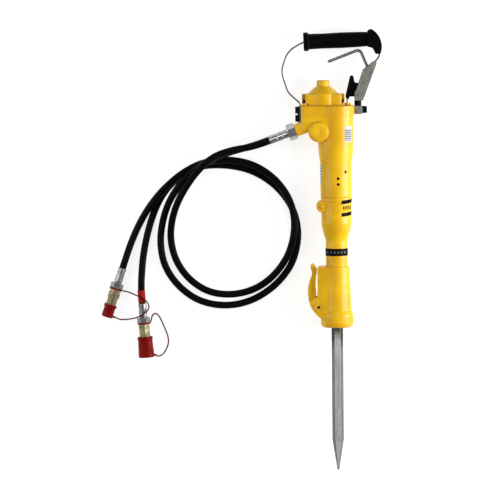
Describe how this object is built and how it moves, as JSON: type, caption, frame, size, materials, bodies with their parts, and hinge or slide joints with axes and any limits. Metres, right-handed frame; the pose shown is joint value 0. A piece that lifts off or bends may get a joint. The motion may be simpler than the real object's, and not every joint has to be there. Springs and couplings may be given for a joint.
{
  "type": "hydraulic breaker hammer",
  "caption": "Handheld hydraulic breaker hammer with leaf-spring handle, trigger, gas accumulator, latched hexagon steel and two hoses with quick couplings.",
  "frame": {"origin": "centre of the flat rest pad on the back of the cylinder casting, under the tool's axis", "axes": "+Y along the tool towards the handle, the steel points along -Y; +X to the trigger side; +Z out of the front, away from the surface it lies on"},
  "size_m": [0.6212, 0.9718, 0.08],
  "materials": {
    "yellow_paint": "gloss industrial enamel, light orange peel",
    "black_rubber": "moulded rubber, fine grain",
    "hose_rubber": "smooth hose cover",
    "spring_steel": "rolled spring steel",
    "zinc_steel": "zinc plated steel",
    "black_steel": "black oxide steel",
    "tool_steel": "hot rolled hexagon steel, ground point",
    "inner_steel": "ground and hardened steel",
    "bronze": "bearing bronze",
    "seal_plastic": "seal compound",
    "band_black": "printed marking band",
    "hose_fitting_steel": "zinc plated steel",
    "coupling_zinc": "yellow passivated steel",
    "red_plastic": "soft red plastic"
  },
  "bodies": {
    "hammer": {"accumulator_bolts": "black_steel", "accumulator_cap": "yellow_paint", "accumulator_diaphragm": "black_rubber", "accumulator_knob": "yellow_paint", "bracket_foot": "zinc_steel", "bracket_isolator": "black_rubber", "bracket_stud": "zinc_steel", "coupling_body_a": "coupling_zinc", "coupling_body_b": "coupling_zinc", "coupling_ferrule_a": "hose_fitting_steel", "coupling_ferrule_b": "hose_fitting_steel", "coupling_nut_a": "hose_fitting_steel", "coupling_nut_b": "hose_fitting_steel", "cylinder_body": "yellow_paint", "foot_bolt": "black_steel", "front_body": "yellow_paint", "front_ring": "bronze", "gauge_plugs": "zinc_steel", "grip": "black_rubber", "handle_bracket": "zinc_steel", "head_plate": "yellow_paint", "hose_a": "hose_rubber", "hose_b": "hose_rubber", "lanyard_a": "red_plastic", "lanyard_b": "red_plastic", "lanyard_ring_a": "red_plastic", "lanyard_ring_b": "red_plastic", "latch_pin": "zinc_steel", "leaf_bolts": "black_steel", "leaf_clamp": "zinc_steel", "leaf_spring": "spring_steel", "lug_screw": "zinc_steel", "marker_sleeve": "red_plastic", "neck_band": "band_black", "nose_housing": "yellow_paint", "piston_guide": "bronze", "plug_seal": "black_rubber", "port_adapters": "hose_fitting_steel", "rocker_pin": "zinc_steel", "side_plug": "yellow_paint", "spool_spring": "inner_steel", "tool_end_ferrules": "hose_fitting_steel", "tool_end_nuts": "hose_fitting_steel", "trigger_pin": "zinc_steel", "upper_bushing": "bronze"},
    "trigger": {"trigger_lever": "zinc_steel"},
    "rocker": {"valve_rocker": "black_rubber"},
    "trigger_valve": {"trigger_spool": "inner_steel"},
    "percussion_piston": {"piston": "inner_steel", "piston_seals": "seal_plastic"},
    "distributor": {"distributor_spool": "inner_steel"},
    "steel": {"moil_point": "tool_steel"},
    "latch": {"retainer_latch": "yellow_paint"},
    "locking_sleeve": {"coupling_sleeve_a": "coupling_zinc"},
    "poppet_a": {"coupling_poppet_a": "inner_steel"},
    "poppet_b": {"coupling_poppet_b": "inner_steel"},
    "cap_a": {"dust_cap_a": "red_plastic"},
    "cap_b": {"dust_cap_b": "red_plastic"}
  },
  "joints": [
    {"name": "trigger_hinge", "type": "hinge", "parent": "hammer", "child": "trigger", "pos_m": [0.0705, 0.111, 0.036], "axis": [0, 0, -1], "range_deg": [0, 8], "stiffness_Nm_per_rad": 1, "springref_deg": -2.86},
    {"name": "rocker_hinge", "type": "hinge", "parent": "hammer", "child": "rocker", "pos_m": [0.048, 0.058, 0.036], "axis": [0, 0, 1], "range_deg": [0, 14.5]},
    {"name": "trigger_valve_slide", "type": "slide", "parent": "hammer", "child": "trigger_valve", "axis": [0, -1, 0], "range_m": [0, 0.0055]},
    {"name": "piston_slide", "type": "slide", "parent": "hammer", "child": "percussion_piston", "axis": [0, 1, 0], "range_m": [0, 0.03]},
    {"name": "distributor_slide", "type": "slide", "parent": "hammer", "child": "distributor", "axis": [0, 1, 0], "range_m": [0, 0.004]},
    {"name": "steel_slide", "type": "slide", "parent": "hammer", "child": "steel", "axis": [0, -1, 0], "range_m": [0, 0.018]},
    {"name": "latch_hinge", "type": "hinge", "parent": "hammer", "child": "latch", "pos_m": [-0.041, -0.41, 0.036], "axis": [0, 0, 1], "range_deg": [0, 45]},
    {"name": "locking_sleeve_slide", "type": "slide", "parent": "hammer", "child": "locking_sleeve", "axis": [0.319, 0.9478, 0], "range_m": [0, 0.0035], "stiffness_N_per_m": 800, "springref_m": -0.003},
    {"name": "poppet_a_slide", "type": "slide", "parent": "hammer", "child": "poppet_a", "axis": [0.319, 0.9478, 0], "range_m": [0, 0.006], "stiffness_N_per_m": 800, "springref_m": -0.003},
    {"name": "poppet_b_slide", "type": "slide", "parent": "hammer", "child": "poppet_b", "axis": [-0.0698, 0.9976, 0], "range_m": [0, 0.006], "stiffness_N_per_m": 800, "springref_m": -0.003},
    {"name": "cap_a_slide", "type": "slide", "parent": "hammer", "child": "cap_a", "axis": [-0.319, -0.9478, 0], "range_m": [0, 0.024]},
    {"name": "cap_b_slide", "type": "slide", "parent": "hammer", "child": "cap_b", "axis": [0.0698, -0.9976, 0], "range_m": [0, 0.03]}
  ],
  "couplings": [
    {"joint": "rocker_hinge", "follows": "trigger_hinge", "ratio": 1.8},
    {"joint": "trigger_valve_slide", "follows": "trigger_hinge", "m_per_rad": 0.03867}
  ]
}
